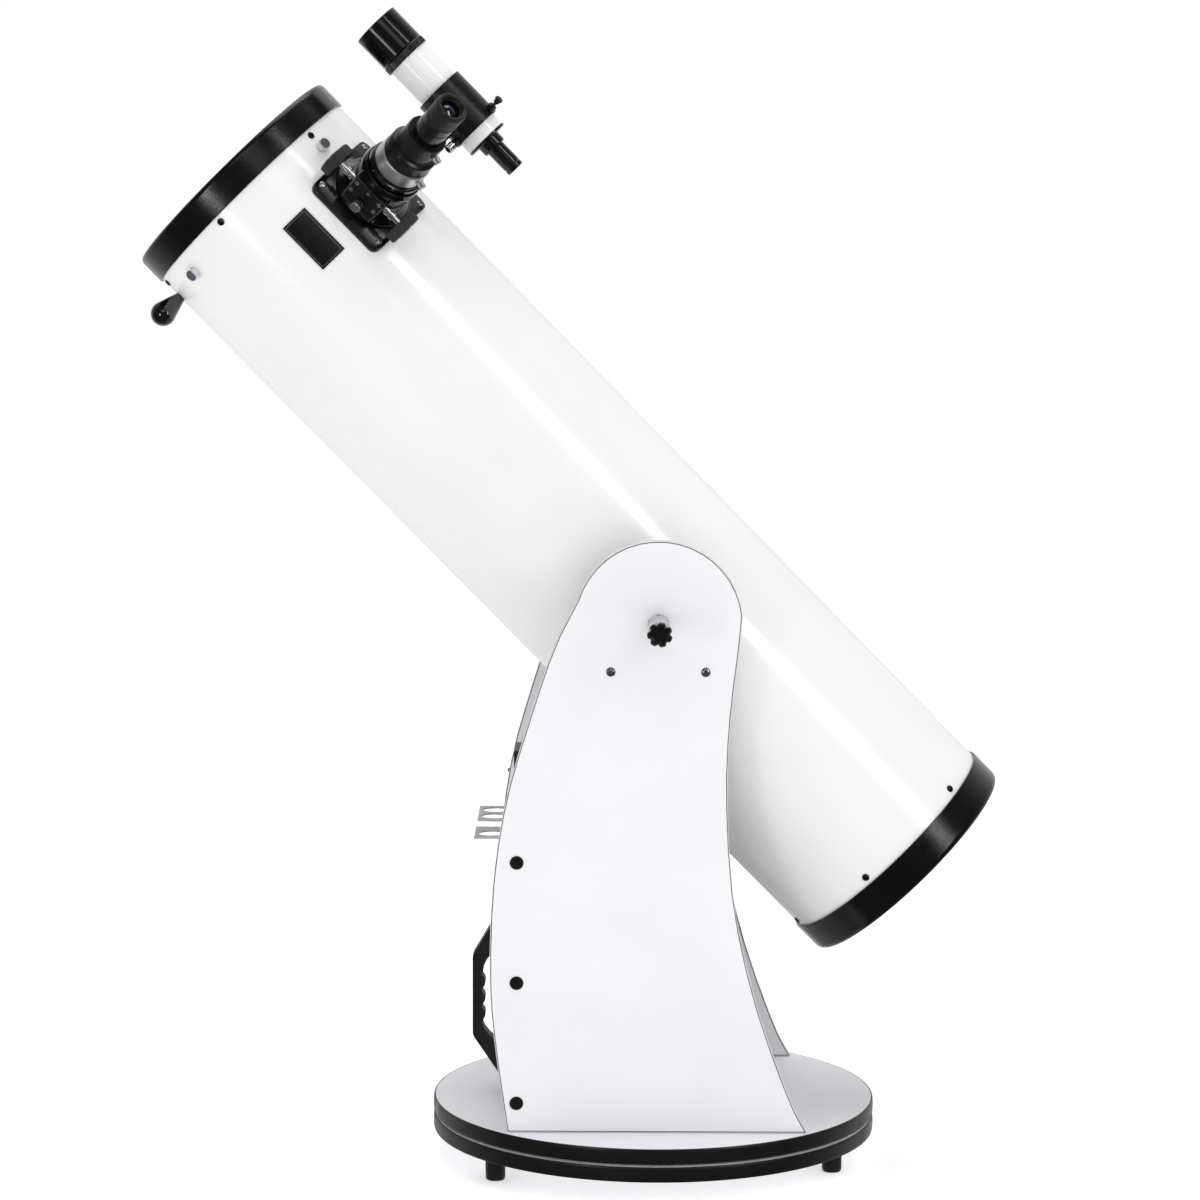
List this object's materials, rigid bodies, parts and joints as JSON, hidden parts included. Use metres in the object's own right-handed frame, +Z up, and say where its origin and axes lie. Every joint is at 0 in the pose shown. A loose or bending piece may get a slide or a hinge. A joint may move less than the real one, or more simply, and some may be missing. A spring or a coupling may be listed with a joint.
{
  "type": "dobsonian telescope",
  "caption": "Solid-tube Newtonian telescope on a low wooden rocker box that turns on a round ground board, with a finder scope and an eyepiece focuser.",
  "frame": {"origin": "on the ground, at the centre of the telescope's rest bounding box", "axes": "+Z up, -X towards the tube's open front, -Y towards the side that carries the focuser"},
  "size_m": [1.0028, 0.5616, 1.3558],
  "materials": {
    "melamine": "white melamine-faced board",
    "tube_paint": "gloss warm white enamel",
    "black_cast": "semi-gloss black paint on cast metal",
    "black_plastic": "moulded black plastic",
    "black_metal": "black anodised and painted metal",
    "rubber": "black rubber",
    "chrome": "polished plating",
    "bright_aluminium": "satin bare metal",
    "steel": "zinc-plated steel",
    "grey_paint": "grey painted sheet",
    "ptfe": "low-friction white plastic",
    "mirror_coat": "front-surface mirror",
    "label": "gloss black label"
  },
  "bodies": {
    "ground": {"ground_board": "melamine", "foot_front": "rubber", "foot_rear": "rubber", "foot_far": "rubber", "azimuth_bearing": "ptfe", "azimuth_bolt": "steel", "azimuth_lock_nut": "steel"},
    "rocker": {"azimuth_board": "melamine", "side_panel_near": "melamine", "side_panel_far": "melamine", "front_board": "melamine", "tube_bumper": "rubber", "carry_handle": "black_plastic", "eyepiece_rack": "grey_paint", "altitude_pad_near_front": "ptfe", "altitude_pad_near_rear": "ptfe", "altitude_pad_far_front": "ptfe", "altitude_pad_far_rear": "ptfe"},
    "tube": {"main_tube": "tube_paint", "front_ring": "black_cast", "rear_ring": "black_cast", "primary_mirror": "mirror_coat", "mirror_cell": "black_cast", "cell_frame": "black_cast", "spider": "black_cast", "secondary_mirror": "mirror_coat", "secondary_holder": "black_plastic", "altitude_hub_near": "black_plastic", "altitude_hub_far": "black_plastic", "pointing_knob": "black_plastic", "label_plate": "label", "focuser_body": "black_metal", "finder_shoe": "black_metal", "finder_bracket": "black_cast", "finder_tube": "tube_paint", "finder_eyepiece": "black_metal"},
    "tension_near": {"tension_sleeve_near": "bright_aluminium", "tension_knob_near": "black_plastic"},
    "tension_far": {"tension_sleeve_far": "bright_aluminium", "tension_knob_far": "black_plastic"},
    "drawtube": {"drawtube": "black_metal", "eyepiece_clamp": "bright_aluminium", "eyepiece_adapter": "black_metal"},
    "focus_shaft": {"focus_shaft": "chrome", "focus_knob_front": "black_metal", "focus_knob_rear": "black_metal"},
    "eyepiece": {"eyepiece": "rubber"},
    "focus_lock": {"focus_lock_screw": "bright_aluminium"},
    "clamp_screw": {"clamp_screw": "chrome"},
    "adapter_screw": {"adapter_screw": "chrome"},
    "collimation_1": {"collimation_knob_1": "chrome"},
    "collimation_2": {"collimation_knob_2": "chrome"},
    "collimation_3": {"collimation_knob_3": "chrome"},
    "finder_screw_near": {"finder_screw_near": "black_metal"},
    "finder_screw_far": {"finder_screw_far": "black_metal"},
    "finder_plunger": {"finder_spring_plunger": "chrome"},
    "finder_objective": {"finder_objective": "black_metal"},
    "finder_lock_ring": {"finder_lock_ring": "black_metal"}
  },
  "joints": [
    {"name": "azimuth", "type": "hinge", "parent": "ground", "child": "rocker", "pos_m": [0.0986, 0, 0.0514], "axis": [0, 0, 1], "continuous": true},
    {"name": "altitude", "type": "hinge", "parent": "rocker", "child": "tube", "pos_m": [0.0986, 0, 0.6581], "axis": [0, 1, 0], "range_deg": [-45.45, 44.55]},
    {"name": "focus_travel", "type": "slide", "parent": "tube", "child": "drawtube", "axis": [0.5212, -0.682, 0.5131], "range_m": [-0.002, 0.034]},
    {"name": "focus_turn", "type": "hinge", "parent": "tube", "child": "focus_shaft", "pos_m": [-0.22887, -0.1449, 1.14119], "axis": [0.7015, 0, -0.7126], "range_deg": [-36, 609]},
    {"name": "eyepiece_lift", "type": "slide", "parent": "drawtube", "child": "eyepiece", "axis": [0.5212, -0.682, 0.5131], "range_m": [0, 0.04]},
    {"name": "tension_near_turn", "type": "hinge", "parent": "tube", "child": "tension_near", "pos_m": [0.0986, -0.27, 0.6581], "axis": [0, -1, 0], "continuous": true},
    {"name": "tension_far_turn", "type": "hinge", "parent": "tube", "child": "tension_far", "pos_m": [0.0986, 0.27, 0.6581], "axis": [0, 1, 0], "continuous": true},
    {"name": "focus_lock_turn", "type": "hinge", "parent": "tube", "child": "focus_lock", "pos_m": [-0.24238, -0.1491, 1.12789], "axis": [-0.486, -0.7314, -0.4784], "continuous": true},
    {"name": "clamp_screw_turn", "type": "hinge", "parent": "drawtube", "child": "clamp_screw", "pos_m": [-0.17102, -0.15641, 1.15092], "axis": [0.5404, -0.2016, -0.8169], "continuous": true},
    {"name": "adapter_screw_turn", "type": "hinge", "parent": "drawtube", "child": "adapter_screw", "pos_m": [-0.15132, -0.18473, 1.17707], "axis": [0.5404, -0.2016, -0.8169], "continuous": true},
    {"name": "collimation_1_turn", "type": "hinge", "parent": "tube", "child": "collimation_1", "pos_m": [0.39324, -0.092, 0.35879], "axis": [0.7015, 0, -0.7126], "continuous": true},
    {"name": "collimation_2_turn", "type": "hinge", "parent": "tube", "child": "collimation_2", "pos_m": [0.45002, 0.046, 0.41469], "axis": [0.7015, 0, -0.7126], "continuous": true},
    {"name": "collimation_3_turn", "type": "hinge", "parent": "tube", "child": "collimation_3", "pos_m": [0.33646, 0.046, 0.3029], "axis": [0.7015, 0, -0.7126], "continuous": true},
    {"name": "finder_screw_near_turn", "type": "hinge", "parent": "tube", "child": "finder_screw_near", "pos_m": [-0.08913, -0.0225, 1.24718], "axis": [0.6172, -0.5, 0.6075], "continuous": true},
    {"name": "finder_screw_far_turn", "type": "hinge", "parent": "tube", "child": "finder_screw_far", "pos_m": [-0.11691, 0.045, 1.21984], "axis": [0, 1, 0], "continuous": true},
    {"name": "finder_plunger_turn", "type": "hinge", "parent": "tube", "child": "finder_plunger", "pos_m": [-0.14468, -0.0225, 1.1925], "axis": [-0.6172, -0.5, -0.6075], "continuous": true},
    {"name": "finder_focus_turn", "type": "hinge", "parent": "tube", "child": "finder_objective", "pos_m": [-0.21407, 0, 1.31854], "axis": [-0.7015, 0, 0.7126], "continuous": true},
    {"name": "finder_lock_ring_turn", "type": "hinge", "parent": "tube", "child": "finder_lock_ring", "pos_m": [-0.19583, 0, 1.30001], "axis": [-0.7015, 0, 0.7126], "continuous": true}
  ],
  "couplings": [
    {"joint": "focus_turn", "follows": "focus_travel", "rad_per_m": 312.5}
  ]
}
